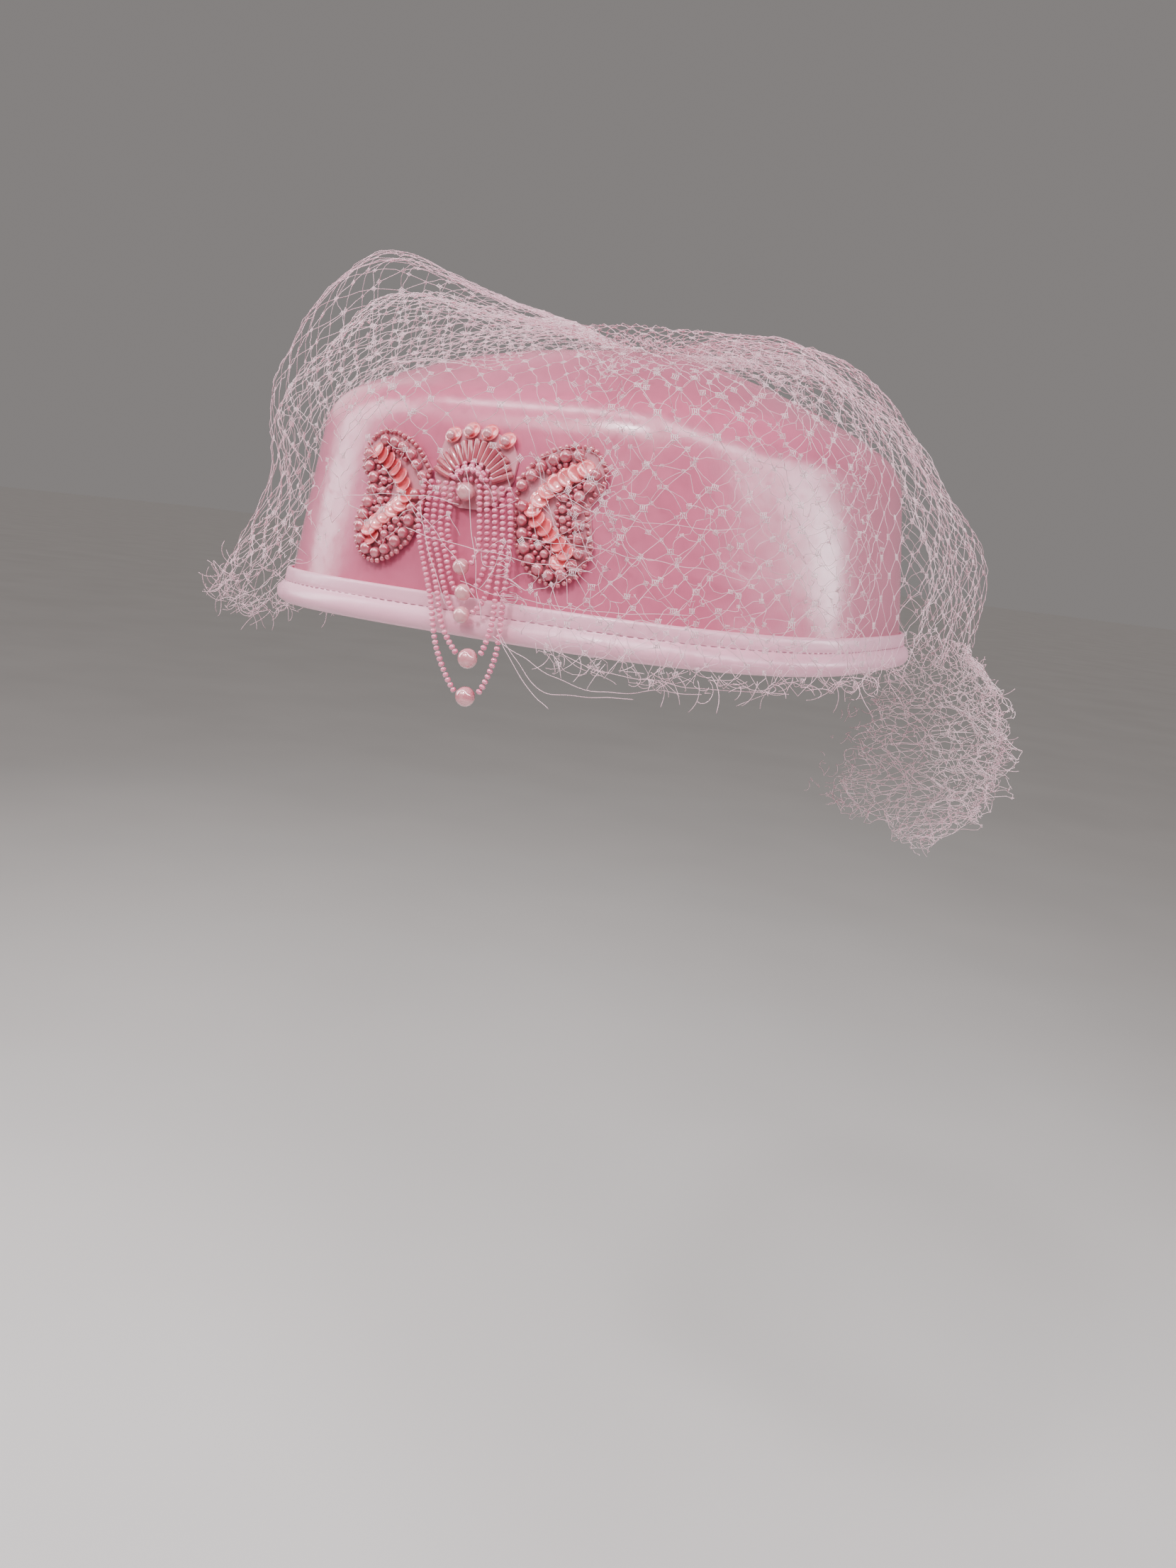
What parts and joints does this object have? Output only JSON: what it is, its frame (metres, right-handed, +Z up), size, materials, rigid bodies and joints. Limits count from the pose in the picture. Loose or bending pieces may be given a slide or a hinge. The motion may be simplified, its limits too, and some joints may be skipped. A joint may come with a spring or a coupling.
{
  "type": "pillbox hat",
  "caption": "Pink satin pillbox hat with a winged bead ornament, hanging bead loops and a gathered net veil.",
  "frame": {"origin": "centre of the head opening, in the plane of the bottom of the rim band", "axes": "+Z up out of the crown, -Y the front with the bead ornament, +X the wearer's left"},
  "size_m": [0.2305, 0.1994, 0.1612],
  "materials": {
    "pink_satin": "satin",
    "band_satin": "satin",
    "pearl_beads": "pearlised",
    "seed_beads": "glossy",
    "veil_net": "matte"
  },
  "bodies": {
    "root": {"crown": "pink_satin", "band": "band_satin", "medallion": "pearl_beads", "wing_left": "pearl_beads", "wing_right": "pearl_beads", "bead_loop_1": "seed_beads", "bead_loop_2": "seed_beads", "bead_loop_3": "seed_beads", "bead_loop_4": "seed_beads", "bead_loop_5": "seed_beads", "veil": "veil_net", "veil_tail": "veil_net"}
  },
  "joints": []
}
